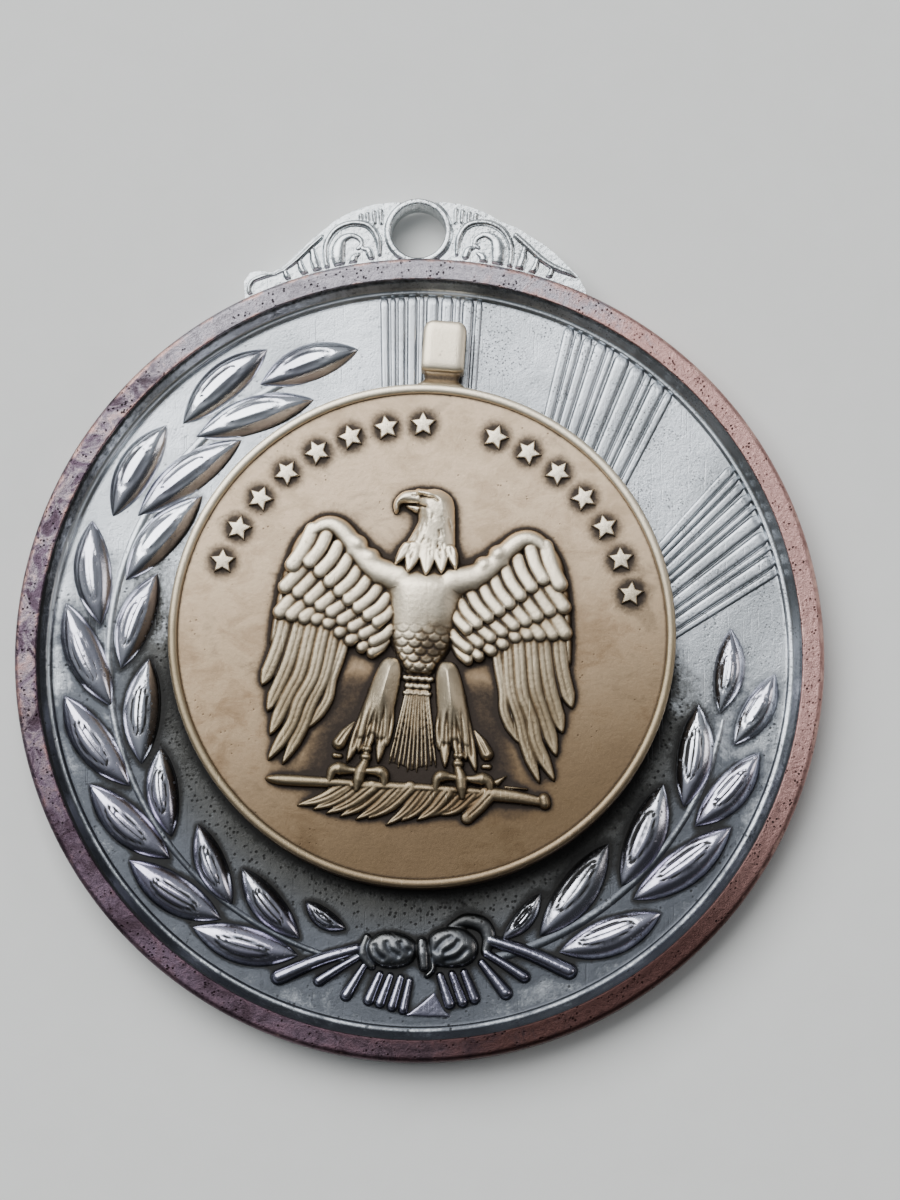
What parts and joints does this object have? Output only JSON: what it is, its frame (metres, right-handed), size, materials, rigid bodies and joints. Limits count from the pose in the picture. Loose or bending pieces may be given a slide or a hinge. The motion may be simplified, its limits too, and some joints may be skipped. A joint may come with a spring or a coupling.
{
  "type": "military service medal",
  "caption": "Round silver-plated medal with a laurel wreath, rays and a scrolled lug, and a small bronze pendant with an eagle over a sword bonded to its face.",
  "frame": {"origin": "centre of the disc on its flat back", "axes": "+Z out of the face; +Y from the disc centre towards the suspension eye; +X to the right as seen from the face"},
  "size_m": [0.0508, 0.0547, 0.005],
  "materials": {
    "silver_plate": "bright nickel-silver plate with dark toning in the recesses",
    "worn_rim_plate": "plate rubbed through to pinkish copper on the rim",
    "antique_bronze": "oxidised bronze, satin, tan field",
    "bronze_highlight": "oxidised bronze with polished pale high points and brown recesses",
    "bonding_resin": "dull dark adhesive"
  },
  "bodies": {
    "root": {"medal_disc": "silver_plate", "medal_rim": "worn_rim_plate", "suspension_lug": "silver_plate", "lug_scrolls_left": "silver_plate", "lug_scrolls_right": "silver_plate", "laurel_stem_left": "silver_plate", "laurel_stem_right": "silver_plate", "laurel_leaves_left_outer": "silver_plate", "laurel_leaves_left_inner": "silver_plate", "laurel_leaves_right_outer": "silver_plate", "laurel_leaves_right_inner": "silver_plate", "ray_bundle_top": "silver_plate", "ray_bundle_upper_right": "silver_plate", "ray_bundle_right": "silver_plate", "bow_knot": "silver_plate", "bow_tails": "silver_plate", "bond_layer": "bonding_resin", "pendant_disc": "antique_bronze", "pendant_rim": "bronze_highlight", "pendant_knuckle": "bronze_highlight", "star_border": "bronze_highlight", "eagle_head": "bronze_highlight", "eagle_body": "bronze_highlight", "eagle_wing_left": "bronze_highlight", "eagle_wing_right": "bronze_highlight", "eagle_tail": "bronze_highlight", "eagle_leg_left": "bronze_highlight", "eagle_leg_right": "bronze_highlight", "sword": "bronze_highlight", "palm_branch": "bronze_highlight"}
  },
  "joints": []
}
